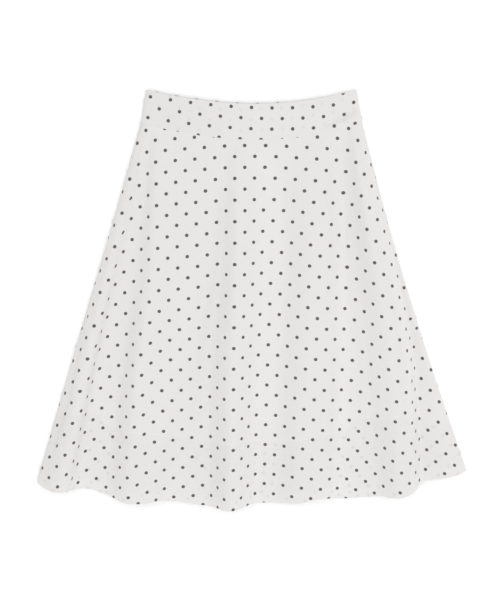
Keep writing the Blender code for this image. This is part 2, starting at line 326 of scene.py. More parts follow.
# Edge of the lining (m): blurs, the pale line along it, and the line's patches
UNLINED_BLUR = 0.001
LINED_BLUR = 0.0006
LINE_BLUR = 0.0008
LINE_FADE = (0.0015, 0.0035)
LINE_SHOWN = 0.015
PATCHES_SHOWN = 0.08
PATCH_FINENESS = 14.0
PATCH_EDGES = (0.42, 0.62)

# Painted light and shade (shares of the cloth's colour): painted light where the front lies low, close on the
# layers below, and in a fold's hollow, painted shade along the left side and under the seam. Heights and widths
# in mm, HOLLOW_REACH in columns
BACKED_PAINTED_LIGHT = 0.030
BACKED_HEIGHTS = (5.0, 18.0)
BACKED_FROM_SIDE = (6.0, 30.0)
HOLLOW_PAINTED_LIGHT = 0.045
HOLLOW_FULL = 4.0
HOLLOW_REACH = 4
HOLLOW_SMOOTHINGS = 2
LEFT_SHADE = 0.10
BAND_LEFT_SHADE = 0.05
LEFT_SHADE_WIDTH = 9.0
LEFT_SIDE_PAINTED_SHADE = 0.030
LEFT_SIDE_AT_SEAM = 20.0
LEFT_SIDE_AT_HEM = 48.0
SEAM_PAINTED_SHADE = 0.010
SEAM_PAINTED_SHADE_REACH = 60.0
BAND_LEFT_PAINTED_SHADE = 0.014
BAND_LEFT_PLACES = (-120.0, 20.0)
UNLINED_DARKER = 0.017

# Painted light and shade: strips along the sides of folds that the light leaves paler (or darker, negative):
# the two fold lines, how much paler, and the shares of the way to the hem at which this is nothing and at which
# it is full
PAINTED_LIGHT_STRIPS = (
    ("left_valley_end", "crest_1_start", 0.020, 0.15, 0.45),
    ("valley_1_end", "crest_2", 0.016, 0.1, 0.3),
    ("crest_2", "valley_2", 0.013, 0.1, 0.35),
    ("crest_3_end", "valley_3_end", 0.022, 0.1, 0.25),
    ("valley_3_end", "crest_4_foot", -0.012, 0.4, 0.6),
    ("crest_4_foot", "crest_4", 0.010, 0.3, 0.5),
    ("crest_4", "fold_slope", -0.017, 0.25, 0.45),
    ("fold_slope", "right_edge", -0.015, 0.05, 0.3),
    ("crest_3_end", "crest_4_foot", -0.017, 0.48, 0.75),
)

# Camera: it looks down at the laid skirt, tilted towards the waist
CAMERA_TILT_DEG = 12.0
CAMERA_DISTANCE = 2.2
CAMERA_LENS = 80.49
SENSOR_WIDTH = 36.0

# Light: even pale surroundings, and the soft lights' place, size and power (W). Each light points at the
# middle of the skirt, the broad one from the right, the weak one from beyond the hem
WORLD_COLOUR = (1.0, 1.0, 1.0, 1.0)
WORLD_STRENGTH = 1.10
LIGHTS = (
    ("right_softbox", (6.2, 0.9, 4.2), 4.6, 31.0),
    ("hem_softbox", (0.5, -2.0, 2.2), 1.6, 6.0),
)

# Floor (m)
FLOOR_HALF = 4.0
FLOOR_Z = -0.0003
FLOOR_CORNERS = ((-1, -1), (1, -1), (1, 1), (-1, 1))

# Kinds of value that the shader groups take and give
NUMBER = "NodeSocketFloat"
VECTOR = "NodeSocketVector"


def column(table, index):
    """One column of a table as an array."""
    return np.array([row[index] for row in table], float)


def smooth_step(low, high, value):
    """0 below low, 1 above high, and a smooth rise between."""
    t = np.clip((value - low) / (high - low), 0.0, 1.0)
    return t * t * (3.0 - 2.0 * t)


def smooth_fall(low, high, value):
    """1 below low, 0 above high, and a smooth fall between."""
    return 1.0 - smooth_step(low, high, value)


def bell(distance, reach):
    """1 at no distance, falling smoothly to almost 0 at twice the reach."""
    return np.exp(-(distance / reach) ** 2)


def paired(first, second):
    """Two grids of values as one grid of pairs."""
    return np.stack((first, second), axis=2)


def seam_y(x):
    """Waist seam seen from above."""
    bend = np.where(x < SEAM_MID_X, SEAM_BEND_LEFT, SEAM_BEND_RIGHT)
    return SEAM_MID_Y + bend * (x - SEAM_MID_X) ** 2


def top_y(x):
    """Top edge of the front band seen from above."""
    share = (x - TOP_MID_X) / TOP_HALF_WIDTH
    bend = np.where(share < 0.0, TOP_BEND_LEFT, TOP_BEND_RIGHT)
    return TOP_MID_Y + TOP_RISE * np.abs(share) ** bend


def rounded_height(distance, height):
    """Height of a band that rises from its side edge with a round shoulder."""
    inside = np.clip(1.0 - distance / BAND_ROUNDING, 0.0, 1.0)
    return FRONT_EDGE_Z + (height - FRONT_EDGE_Z) * np.sqrt(1.0 - inside ** 2)


def side_places(index):
    """The first and last value of a column of the fold table, for the two side edges."""
    places = column(FOLDS, index)
    return places[0], places[-1]


def seam_height(x):
    """Height of the front's middle surface along the waist seam."""
    left, right = side_places(X_SEAM)
    distance = np.maximum(np.minimum(x - left, right - x), 0.0)
    return rounded_height(distance, BAND_HEIGHT_SEAM)


def slopes(places, values, flat_ends):
    """Slopes of a monotone cubic through the values at the places."""
    steps = np.diff(places)
    rises = np.diff(values) / steps
    found = np.zeros(len(values))
    for i in range(1, len(values) - 1):
        if rises[i - 1] * rises[i] > 0.0:
            before = 2.0 * steps[i] + steps[i - 1]
            after = steps[i] + 2.0 * steps[i - 1]
            found[i] = (before + after) / (before / rises[i - 1] + after / rises[i])
    if not flat_ends:
        found[0] = rises[0]
        found[-1] = rises[-1]
    return found


def curve(places, values, at, flat_ends=False):
    """A monotone cubic through the values at the places, read at others."""
    slope = slopes(places, values, flat_ends)
    i = np.clip(np.searchsorted(places, at, side="right") - 1, 0, len(places) - 2)
    step = places[i + 1] - places[i]
    t = (at - places[i]) / step
    start = (1.0 + 2.0 * t) * (1.0 - t) ** 2 * values[i]
    leaving = t * (1.0 - t) ** 2 * step * slope[i]
    end = t * t * (3.0 - 2.0 * t) * values[i + 1]
    arriving = t * t * (t - 1.0) * step * slope[i + 1]
    return start + leaving + end + arriving


def growth(share):
    """How far the folds have grown at a share of the way from seam to hem."""
    return (share + SOFT_START) ** FOLD_GROWTH - SOFT_START ** FOLD_GROWTH


def fold_places(share):
    """Places and heights of all fold lines at one share of the way from seam to hem."""
    stations = np.array(STATIONS)
    x_table = np.array([column(FOLDS, i) for i in (X_SEAM, X_HIP, X_THIGH, X_HEM)])
    z_table = np.array([seam_height(x_table[0])] + [column(FOLDS, i) for i in (Z_HIP, Z_THIGH, Z_HEM)])
    grown = growth(stations)
    at = np.array([share])
    x = np.array([curve(stations, x_table[:, k], at)[0] for k in range(len(FOLDS))])
    z = np.array([curve(grown, z_table[:, k], growth(at))[0] for k in range(len(FOLDS))])
    return x, z


def column_counts():
    """Columns between each pair of fold lines, from their distance at the hem."""
    x, z = fold_places(1.0)
    widths = np.hypot(np.diff(x), np.diff(z))
    return [max(2, int(round(width / FRONT_COLUMN_WIDTH))) for width in widths]


def row_stations(share, counts):
    """Fold lines' places, heights and run along a row, and even stations that keep a vertex on each of them."""
    x, z = fold_places(share)
    run = np.concatenate(([0.0], np.cumsum(np.hypot(np.diff(x), np.diff(z)))))
    at = [0.0]
    for k, count in enumerate(counts):
        at.extend(run[k] + (run[k + 1] - run[k]) * (j + 1) / count for j in range(count))
    return x, z, run, np.array(at)


def row_shares():
    """Shares of the way from seam to hem of the front's rows."""
    return np.linspace(0.0, 1.0, FRONT_ROWS + 1) ** FRONT_ROW_CROWDING


def front_surface():
    """Middle surface of the front panel, rows from seam to hem."""
    counts = column_counts()
    _, _, run, at = row_stations(1.0, counts)
    hem_at = curve(run, column(FOLDS, Y_HEM), at)
    x, _, run, at = row_stations(0.0, counts)
    seam_at = seam_y(curve(run, x, at, True)) - SEAM_GAP / 2.0
    rows = []
    for share in row_shares():
        x, z, run, at = row_stations(share, counts)
        row_y = seam_at + (hem_at - seam_at) * share
        rows.append(np.column_stack((curve(run, x, at, True), row_y, curve(run, z, at))))
    return np.array(rows)


def rolled_row(left, right, flat_z, columns):
    """x and z of a row that lies flat and curls up at both ends to ROLL_TOP."""
    radius = ROLL_TOP - flat_z
    angles = np.linspace(math.pi / 2.0, 0.0, ROLL_STEPS + 1)[:-1]
    curl_x = radius * (1.0 - np.sin(angles))
    curl_z = ROLL_TOP - radius * np.cos(angles)
    middle = np.linspace(left + radius, right - radius, columns + 1)
    x = np.concatenate((left + curl_x, middle, (right - curl_x)[::-1]))
    z = np.concatenate((curl_z, np.full(columns + 1, flat_z), curl_z[::-1]))
    return x, z


def back_hem_y(x, left, right, left_y, right_y):
    """Back hem seen from above: lowest in the middle, rising to both side corners."""
    left_rise = (left_y - BACK_HEM_MID_Y) * np.abs(np.minimum(x, 0.0) / left) ** BACK_HEM_BEND_LEFT
    right_rise = (right_y - BACK_HEM_MID_Y) * (np.maximum(x, 0.0) / right) ** BACK_HEM_BEND_RIGHT
    return BACK_HEM_MID_Y + left_rise + right_rise


def back_surface():
    """Middle surface of the back panel, rows from seam to hem, sides under the front's sides."""
    seam_x = rolled_row(*side_places(X_SEAM), BACK_MID_Z, BACK_COLUMNS)[0]
    seam_at = seam_y(seam_x) - SEAM_GAP / 2.0
    hem_x = rolled_row(*side_places(X_HEM), BACK_MID_Z, BACK_COLUMNS)[0]
    hem_at = back_hem_y(hem_x, *side_places(X_HEM), *side_places(Y_HEM))
    rows = []
    for share in np.linspace(0.0, 1.0, BACK_ROWS + 1):
        sides = fold_places(share)[0]
        x, z = rolled_row(sides[0], sides[-1], BACK_MID_Z, BACK_COLUMNS)
        rows.append(np.column_stack((x, seam_at + (hem_at - seam_at) * share, z)))
    return np.array(rows)


def band_columns(half_width):
    """Places across a band, closer together where its side edges round over."""
    ends = BAND_ROUNDING * (1.0 - np.cos(np.linspace(0.0, math.pi / 2.0, ROLL_STEPS + 1)))
    middle = np.linspace(ends[-1], 2.0 * half_width - ends[-1], BAND_COLUMNS + 1)
    return np.concatenate((ends[:-1], middle, (2.0 * half_width - ends[:-1])[::-1]))


def straight_rows(first, last, rows):
    """A grid whose rows go over from one edge line to another."""
    return np.array([first + (last - first) * share for share in np.linspace(0.0, 1.0, rows + 1)])


def front_band_surface():
    """Middle surface of the front band, rows from the top edge to the seam."""
    left, right = side_places(X_SEAM)
    seam_x = left + band_columns((right - left) / 2.0)
    top_across = band_columns(TOP_HALF_WIDTH)
    top_x = TOP_MID_X - TOP_HALF_WIDTH + top_across
    top_z = rounded_height(np.minimum(top_across, top_across[::-1]), BAND_HEIGHT_TOP)
    top = np.column_stack((top_x, top_y(top_x), top_z))
    seam = np.column_stack((seam_x, seam_y(seam_x) + SEAM_GAP / 2.0, seam_height(seam_x)))
    return straight_rows(top, seam, BAND_ROWS)


def back_band_surface():
    """Middle surface of the back band, flat on the floor with its ends curled up."""
    seam_x, seam_z = rolled_row(*side_places(X_SEAM), BACK_BAND_MID_Z, BAND_COLUMNS)
    top_left = TOP_MID_X - TOP_HALF_WIDTH
    top_x = rolled_row(top_left, TOP_MID_X + TOP_HALF_WIDTH, BACK_BAND_MID_Z, BAND_COLUMNS)[0]
    inside = 1.0 - (np.abs(top_x - TOP_MID_X) / TOP_HALF_WIDTH) ** BACK_TOP_FLATNESS
    top = np.column_stack((top_x, top_y(top_x) + BACK_TOP_LIFT * inside, seam_z))
    seam = np.column_stack((seam_x, seam_y(seam_x) + SEAM_GAP / 2.0, seam_z))
    return straight_rows(top, seam, BAND_ROWS)


def surface_normals(points, seam_row):
    """Upward unit normals. End faces at the seam stand upright, those at the sides lie level."""
    down = np.gradient(points, axis=0)
    across = np.gradient(points, axis=1)
    normals = np.cross(down, across)
    normals[seam_row, :, 1] = 0.0
    normals[:, (0, -1), 2] = 0.0
    normals /= np.linalg.norm(normals, axis=2)[:, :, None]
    return normals


def distance_from_end(points, axis, end):
    """Distance of each grid point from the first (end 0) or last (end -1) row or column, on the cloth."""
    run = np.cumsum(np.linalg.norm(np.diff(points, axis=axis), axis=2), axis=axis)
    start = np.zeros_like(np.take(run, [0], axis=axis))
    run = np.concatenate((start, run), axis=axis)
    return run if end == 0 else np.take(run, [-1], axis=axis) - run


def distance_from_sides(points):
    """Distance of each grid point from the nearer side edge, on the cloth."""
    return np.minimum(distance_from_end(points, 1, 0), distance_from_end(points, 1, -1))


def raised(points, seam_row, height):
    """The points moved along their normals."""
    return points + surface_normals(points, seam_row) * height[:, :, None]


def crease_heights(points, table):
    """Height that soft creases and ridges along straight lines add to a surface."""
    x = points[:, :, 0]
    y = points[:, :, 1]
    total = np.zeros_like(x)
    for _, x_start, y_start, x_end, y_end, height, half_width in table:
        along_x = x_end - x_start
        along_y = y_end - y_start
        length = math.hypot(along_x, along_y)
        from_x = x - x_start
        from_y = y - y_start
        share = (from_x * along_x + from_y * along_y) / length ** 2
        aside = (from_x * along_y - from_y * along_x) / length
        bow = CREASE_BOW * length * np.sin(math.pi * np.clip(share, 0.0, 1.0))
        fade = smooth_step(*CREASE_FADE_IN, share) * smooth_fall(*CREASE_FADE_OUT, share)
        total += height * bell(aside + bow, half_width) * fade
    return total


def pucker_heights(points, below_seam):
    """Height of the small puckers that run down from the waist seam."""
    x = points[:, :, 0]
    total = np.zeros_like(x)
    for _, x_seam, depth, half_width, length, drift in PUCKERS:
        way = below_seam / length
        across = bell(x - x_seam - drift * way, half_width * (1.0 + way))
        total += depth * across * bell(way, 1.0)
    return total * smooth_step(0.0, PUCKERS_BELOW_SEAM, below_seam)


def soft_waves(points, height, length):
    """Slight unevenness of relaxed cloth: a few crossing waves of unequal length."""
    x = points[:, :, 0] / length
    y = points[:, :, 1] / length
    total = np.zeros_like(x)
    for share, across, down, start in WAVES:
        total += share * np.sin(across * x + down * y + start)
    return height * total / column(WAVES, 0).sum()


def spread_across(values):
    """Values of a grid evened out along its rows."""
    window = 2 * HOLLOW_REACH + 1
    for _ in range(HOLLOW_SMOOTHINGS):
        wide = np.pad(values, ((0, 0), (HOLLOW_REACH, HOLLOW_REACH)), mode="edge")
        total = np.cumsum(np.pad(wide, ((0, 0), (1, 0))), axis=1)
        values = (total[:, window:] - total[:, :-window]) / window
    return values


def hollows(points):
    """How far the cloth lies below the mean height around it across the folds, 0 to 1, with soft sides."""
    height = points[:, :, 2]
    depth = np.clip((spread_across(height) - height) / HOLLOW_FULL, 0.0, 1.0)
    return spread_across(depth)


def grid_pairs(rows, columns):
    """Slices for the ends of all edges and diagonals of a grid."""
    up, down = slice(0, rows - 1), slice(1, rows)
    left, right = slice(0, columns - 1), slice(1, columns)
    whole_rows, whole_columns = slice(0, rows), slice(0, columns)
    return (
        ((up, whole_columns), (down, whole_columns)),
        ((whole_rows, left), (whole_rows, right)),
        ((up, left), (down, right)),
        ((down, left), (up, right)),
    )


def relax(flat, points, rounds):
    """Moves the points of a flat grid until its edges and diagonals are as long as on the cloth."""
    pairs = grid_pairs(*flat.shape[:2])
    lengths = [np.linalg.norm(points[b] - points[a], axis=2) for a, b in pairs]
    for _ in range(rounds):
        move = np.zeros_like(flat)
        joined = np.zeros(flat.shape[:2] + (1,))
        for (a, b), length in zip(pairs, lengths):
            edge = flat[b] - flat[a]
            now = np.linalg.norm(edge, axis=2)
            change = edge * ((now - length) / now)[:, :, None]
            move[a] += change
            move[b] -= change
            joined[a] += 1.0
            joined[b] += 1.0
        flat = flat + RELAX * move / joined
    return flat


def resample(grid, rows, columns):
    """A grid read at another number of rows and columns."""
    i = np.linspace(0.0, grid.shape[0] - 1, rows)
    j = np.linspace(0.0, grid.shape[1] - 1, columns)
    i_0 = np.clip(i.astype(int), 0, grid.shape[0] - 2)
    j_0 = np.clip(j.astype(int), 0, grid.shape[1] - 2)
    down = (i - i_0)[:, None, None]
    across = (j - j_0)[None, :, None]
    upper = grid[i_0][:, j_0] * (1.0 - across) + grid[i_0][:, j_0 + 1] * across
    lower = grid[i_0 + 1][:, j_0] * (1.0 - across) + grid[i_0 + 1][:, j_0 + 1] * across
    return upper * (1.0 - down) + lower * down


def laid_out(points):
    """The flat cut of a folded panel: its grid laid out with the lengths it has on the folds (mm)."""
    rough = resample(points, ROUGH_ROWS, ROUGH_COLUMNS)
    across = distance_from_end(rough, 1, 0)
    down = distance_from_end(rough, 0, 0)
    widths = across[:, -1]
    fan = np.polyfit(down.mean(axis=1), widths, 1)[0]
    radius = widths[0] / fan + down
    angle = fan * (across / widths[:, None] - 0.5)
    start = paired(radius * np.sin(angle), -radius * np.cos(angle))
    flat = relax(start, rough, ROUGH_ROUNDS)
    return relax(resample(flat, *points.shape[:2]), points, FINE_ROUNDS)


def line_column(name):
    """The grid column that runs down a fold line."""
    names = [row[0] for row in FOLDS]
    return sum(column_counts()[:names.index(name)])


def passed_and_grown(start_line, end_line, from_share, to_share):
    """How far each grid point lies between two fold lines, and how far its row has grown (0 to 1)."""
    start = line_column(start_line)
    end = line_column(end_line)
    columns = np.arange(sum(column_counts()) + 1.0)[None, :]
    passed = np.clip((columns - start) / (end - start), 0.0, 1.0)
    return passed, smooth_step(from_share, to_share, row_shares()[:, None])


def print_ease():
    """What the cloth taken up in the steep folds adds to the print's places (mm)."""
    total = 0.0
    for start, end, across, up, from_share, to_share in PRINT_EASES:
        passed, grown = passed_and_grown(start, end, from_share, to_share)
        share = smooth_step(0.0, 1.0, passed) * grown
        total = total + share[:, :, None] * (across, up)
    return total


def painted_light_strips():
    """How much painted light (or, where negative, painted shade) the front gets along the sides of its folds.
    """
    total = 0.0
    for start, end, paler, from_share, to_share in PAINTED_LIGHT_STRIPS:
        passed, grown = passed_and_grown(start, end, from_share, to_share)
        total = total + paler * np.sin(math.pi * passed) ** 2 * grown
    return total


def front_print(points, flat):
    """Where each point of the front panel, laid out flat, lies on the print, one dot at (0, 0) (mm)."""
    away = np.array((DOT_PLACE_X, DOT_PLACE_Y)) - points[:, :, :2]
    reach = np.hypot(away[:, :, 0], away[:, :, 1])
    nearest = np.unravel_index(reach.argmin(), reach.shape)
    u, v = np.moveaxis(flat - flat[nearest] - away[nearest], 2, 0)
    across = u * (1.0 + PRINT_SPREAD * v) + PRINT_LEAN * v
    up = v + PRINT_BOW * u ** 2 + PRINT_TILT * u
    return paired(across, up) + print_ease()


def band_print(points):
    """Where each point of a band lies on the printed cloth, one dot at (0, 0) (mm)."""
    x = points[:, :, 0]
    y = points[:, :, 1]
    up = y - BAND_DOT_Y
    row_line = BAND_ROW_SLOPE * (x - BAND_DOT_X) + BAND_ROW_BEND * x ** 2 + BAND_ROW_TWIST * x ** 3
    across = (x - BAND_DOT_X) * (1.0 + BAND_PRINT_FAN * (y - BAND_FAN_Y)) - BAND_PRINT_LEAN * up
    return paired(across, up - row_line)


def back_print(points):
    """Where each point lies on the back panel's printed cloth (mm): turned a little, rows bowed."""
    turn = math.radians(BACK_PRINT_TURN_DEG)
    x = points[:, :, 0] - BACK_DOT_X
    y = points[:, :, 1] - BACK_DOT_Y
    u = x * math.cos(turn) + y * math.sin(turn)
    v = y * math.cos(turn) - x * math.sin(turn)
    return paired(u, v + BACK_PRINT_BOW * u ** 2)


def linked(name, data):
    """A new object in the scene."""
    item = bpy.data.objects.new(name, data)
    bpy.context.scene.collection.objects.link(item)
    return item


def shell_points(middle, wall, seam_row, rim):
    """Points of a shell: its upper side, its lower side, and its bulging rim."""
    half = np.broadcast_to(wall, middle.shape[:2])[:, :, None] / 2.0
    outward = np.zeros_like(middle)
    outward[0] += middle[0] - middle[1]
    outward[-1] += middle[-1] - middle[-2]
    outward[:, 0] += middle[:, 0] - middle[:, 1]
    outward[:, -1] += middle[:, -1] - middle[:, -2]
    outward[seam_row] = 0.0
    length = np.linalg.norm(outward, axis=2)[:, :, None]
    bulge = outward / np.maximum(length, 1e-9) * half * RIM_BULGE
    thickness = surface_normals(middle, seam_row) * half
    upper = (middle + thickness).reshape(-1, 3)
    lower = (middle - thickness).reshape(-1, 3)
    edge = (middle + bulge).reshape(-1, 3)[rim]
    return np.concatenate((upper, lower, edge))


def shell_faces(index, rim):
    """Faces of a shell: its upper side, its lower side, and two rings round the rim."""
    a, b = index[:-1, :-1].ravel(), index[1:, :-1].ravel()
    c, d = index[1:, 1:].ravel(), index[:-1, 1:].ravel()
    ring = 2 * index.size + np.arange(len(rim))
    rim_next, ring_next = np.roll(rim, -1), np.roll(ring, -1)
    return np.concatenate((
        np.column_stack((a, b, c, d)),
        np.column_stack((a, d, c, b)) + index.size,
        np.column_stack((rim, rim_next, ring_next, ring)),
        np.column_stack((ring, ring_next, rim_next + index.size, rim + index.size)),
    ))


def cloth_shell(name, middle, wall, maps, seam_row, materials):
    """A closed thin shell round a grid of middle-surface points, upper side first, with a round rim.

    maps holds the places (mm) of the grid points that become UV maps (m), by name.
    """
    rows, columns = middle.shape[:2]
    index = np.arange(rows * columns).reshape(rows, columns)
    rim = np.concatenate((index[0, :], index[1:, -1], index[-1, -2::-1], index[-2:0:-1, 0]))
    points = shell_points(middle, wall, seam_row, rim)
    faces = shell_faces(index, rim)
    data = bpy.data.meshes.new(name)
    data.from_pydata(((points - PLAN_CENTRE) * MM).tolist(), [], faces.tolist())
    data.shade_smooth()
    data.set_sharp_from_angle(angle=RIM_ANGLE)
    for material in materials:
        data.materials.append(material)
    side_faces = (rows - 1) * (columns - 1)
    material_of_face = np.zeros(len(faces), np.int32)
    material_of_face[side_faces:2 * side_faces] = 1
    data.polygons.foreach_set("material_index", material_of_face)
    corner = np.zeros(len(data.loops), np.int32)
    data.loops.foreach_get("vertex_index", corner)
    grid_of_point = np.concatenate((index.ravel(), index.ravel(), rim))
    for map_name, values in maps.items():
        layer = data.uv_layers.new(name=map_name)
        places = values.reshape(-1, 2)[grid_of_point[corner]] * MM
        layer.uv.foreach_set("vector", places.astype(np.float32).ravel())
    data.validate()
    return linked(name, data)


def node(tree, kind, **settings):
    """A new shader node with its settings."""
    made = tree.nodes.new(kind)
    for key, value in settings.items():
        setattr(made, key, value)
    return made


def feed(tree, socket, value):
    """Links a socket, or sets its value."""
    if isinstance(value, bpy.types.NodeSocket):
        tree.links.new(value, socket)
    else:
        socket.default_value = value


def calc(tree, operation, *values):
    """A Math node of numbers and sockets."""
    made = node(tree, "ShaderNodeMath", operation=operation)
    for socket, value in zip(made.inputs, values):
        feed(tree, socket, value)
    return made.outputs[0]


def product(tree, first, *others):
    """The product of several numbers and sockets."""
    for value in others:
        first = calc(tree, "MULTIPLY", first, value)
    return first


def ramp(tree, value, start, end, low=0.0, high=1.0):
    """A smooth change from low to high while value goes from start to end."""
    made = node(tree, "ShaderNodeMapRange", interpolation_type="SMOOTHSTEP")
    for socket, given in zip(made.inputs, (value, start, end, low, high)):
        feed(tree, socket, given)
    return made.outputs["Result"]


def mix_colour(tree, share, first, second, blend="MIX"):
    """A Mix node of two colours."""
    made = node(tree, "ShaderNodeMix", data_type="RGBA", blend_type=blend)
    feed(tree, made.inputs["Factor"], share)
    for socket, value in zip((made.inputs[6], made.inputs[7]), (first, second)):
        feed(tree, socket, (*value, 1.0) if isinstance(value, tuple) else value)
    return made.outputs[2]


def noise(tree, place, scale, detail=2.0):
    """A Noise texture's value, about 0.5 on average."""
    made = node(tree, "ShaderNodeTexNoise")
    feed(tree, made.inputs["Vector"], place)
    made.inputs["Scale"].default_value = scale
    made.inputs["Detail"].default_value = detail
    return made.outputs["Fac"]


def parts(tree, vector):
    """The values X, Y and Z of a vector."""
    made = node(tree, "ShaderNodeSeparateXYZ")
    feed(tree, made.inputs[0], vector)
    return made.outputs


def uv_place(tree, name):
    """The place that a UV map gives."""
    return node(tree, "ShaderNodeUVMap", uv_map=name).outputs[0]


def new_group(name, inputs, outputs):
    """An empty shader node group, its input node and its output node."""
    tree = bpy.data.node_groups.new(name, "ShaderNodeTree")
    for kind, sockets in (("INPUT", inputs), ("OUTPUT", outputs)):
        for label, socket_type in sockets:
            tree.interface.new_socket(label, in_out=kind, socket_type=socket_type)
    return tree, node(tree, "NodeGroupInput").outputs, node(tree, "NodeGroupOutput").inputs


def placed(tree, group, **values):
    """A group node with its inputs fed by name (spaces as underscores)."""
    made = node(tree, "ShaderNodeGroup", node_tree=group)
    for key, value in values.items():
        feed(tree, made.inputs[key.replace("_", " ")], value)
    return made


def dots_group():
    """Round dots in a half-drop repeat: 1 on a dot, 0 off it. Sizes in metres."""
    sizes = [(label, NUMBER) for label in ("Across", "Down", "Radius", "Softness")]
    tree, given, result = new_group("half_drop_dots", [("Place", VECTOR)] + sizes, (("Mask", NUMBER),))
    place = parts(tree, given["Place"])
    distances = []
    for shift in (0.5, 0.0):
        squares = []
        for axis, step in (("X", "Across"), ("Y", "Down")):
            turns = calc(tree, "DIVIDE", place[axis], given[step])
            share = calc(tree, "SUBTRACT", calc(tree, "FRACT", calc(tree, "ADD", turns, shift)), 0.5)
            away = product(tree, share, given[step])
            squares.append(product(tree, away, away))
        distances.append(calc(tree, "SQRT", calc(tree, "ADD", *squares)))
    nearest = calc(tree, "MINIMUM", *distances)
    uneven = calc(tree, "SUBTRACT", noise(tree, given["Place"], RAGGED_FINENESS), 0.5)
    nearest = calc(tree, "MULTIPLY_ADD", uneven, DOT_RAGGED * MM, nearest)
    inner = calc(tree, "SUBTRACT", given["Radius"], given["Softness"])
    outer = calc(tree, "ADD", given["Radius"], given["Softness"])
    feed(tree, result["Mask"], ramp(tree, nearest, inner, outer, 1.0, 0.0))
    return tree


def weave_group():
    """Fine plain weave: its height, and the slight unevenness of the yarns, both from 0 to 1."""
    tree, given, result = new_group(
        "plain_weave", (("Place", VECTOR), ("Thread", NUMBER)), (("Height", NUMBER), ("Yarn", NUMBER))
    )
    place = parts(tree, given["Place"])
    waves = []
    for axis in ("X", "Y"):
        turns = calc(tree, "DIVIDE", place[axis], given["Thread"])
        waves.append(calc(tree, "SINE", product(tree, turns, math.pi)))
    feed(tree, result["Height"], calc(tree, "MULTIPLY_ADD", product(tree, *waves), 0.5, 0.5))
    yarns = []
    for stretch in ((YARN_ACROSS, YARN_ALONG, 1.0), (YARN_ALONG, YARN_ACROSS, 1.0)):
        mapping = node(tree, "ShaderNodeMapping")
        feed(tree, mapping.inputs["Vector"], given["Place"])
        mapping.inputs["Scale"].default_value = stretch
        yarns.append(noise(tree, mapping.outputs[0], 1.0, 1.0))
    feed(tree, result["Yarn"], product(tree, calc(tree, "ADD", *yarns), 0.5))
    return tree


def tone_group():
    """Broad soft unevenness of tone, and fine mottling, as a factor about 1."""
    tree, given, result = new_group(
        "cloth_tone", (("Place", VECTOR), ("Broad", NUMBER), ("Fine", NUMBER)), (("Factor", NUMBER),)
    )
    place = given["Place"]
    broad = calc(tree, "SUBTRACT", noise(tree, place, BROAD_FINENESS), 0.5)
    fine = calc(tree, "SUBTRACT", noise(tree, place, FINE_FINENESS, FINE_DETAIL), 0.5)
    total = calc(tree, "MULTIPLY_ADD", broad, given["Broad"], 1.0)
    feed(tree, result["Factor"], calc(tree, "MULTIPLY_ADD", fine, given["Fine"], total))
    return tree


def shaded(tree, colour, factor):
    """A colour made lighter or darker by a factor."""
    grey = node(tree, "ShaderNodeCombineColor")
    for socket in grey.inputs:
        feed(tree, socket, factor)
    return mix_colour(tree, 1.0, colour, grey.outputs[0], "MULTIPLY")


def new_finish(name, settings):
    """A new material with its tree and its shader's inputs, set as settings say."""
    material = bpy.data.materials.new(name)
    material.use_nodes = True
    shader = material.node_tree.nodes["Principled BSDF"].inputs
    for label, value in settings.items():
        shader[label].default_value = value
    return material, material.node_tree, shader


def cloth_start(name, roughness, relief):
    """A cloth material: its tree, its shader, the print's place, and the cloth's own uneven colour."""
    material, tree, shader = new_finish(name, {
        "Roughness": roughness,
        "Metallic": 0.0,
        "Specular IOR Level": CLOTH_SHINE,
        "Sheen Weight": CLOTH_FUZZ,
        "Sheen Roughness": FUZZ_ROUGHNESS,
    })
    printed = uv_place(tree, "print_place")
    weave = placed(tree, GROUPS["weave"], Place=printed, Thread=WEAVE_THREAD)
    bump = node(tree, "ShaderNodeBump")
    feed(tree, bump.inputs["Strength"], relief)
    feed(tree, bump.inputs["Distance"], WEAVE_DEPTH)
    feed(tree, bump.inputs["Height"], weave.outputs["Height"])
    feed(tree, shader["Normal"], bump.outputs[0])
    yarn = calc(tree, "SUBTRACT", weave.outputs["Yarn"], 0.5)
    tone = placed(tree, GROUPS["tone"], Place=printed, Broad=BROAD_UNEVEN, Fine=FINE_UNEVEN)
    factor = calc(tree, "MULTIPLY_ADD", yarn, YARN_UNEVEN, tone.outputs["Factor"])
    return material, tree, shader, printed, shaded(tree, CLOTH_COLOUR, factor)


def dots(tree, place, steps, softness=DOT_SOFTNESS):
    """The printed dots' mask at a place, for a repeat with these steps across and down (mm)."""
    group = placed(
        tree, GROUPS["dots"], Place=place, Across=steps[0] * MM, Down=steps[1] * MM,
        Radius=DOT_RADIUS * MM, Softness=softness * MM,
    )
    return group.outputs["Mask"]


def moved(tree, place, shift, turn_deg=0.0):
    """A place shifted by shift (mm) and turned."""
    mapping = node(tree, "ShaderNodeMapping")
    feed(tree, mapping.inputs["Vector"], place)
    mapping.inputs["Location"].default_value = [value * MM for value in shift]
    mapping.inputs["Rotation"].default_value = (0.0, 0.0, math.radians(turn_deg))
    return mapping.outputs[0]


def layered(tree, shader, colour, layers):
    """Lays colours over one another, each with its share, and gives the result to the shader."""
    for share, over in layers:
        colour = mix_colour(tree, share, colour, over)
    feed(tree, shader["Base Color"], colour)


def turned_up(tree, from_hem, blur):
    """1 on the turned-up hem, 0 above it."""
    return ramp(tree, from_hem, (HEM_TURN_UP - blur) * MM, (HEM_TURN_UP + blur) * MM, 1.0, 0.0)


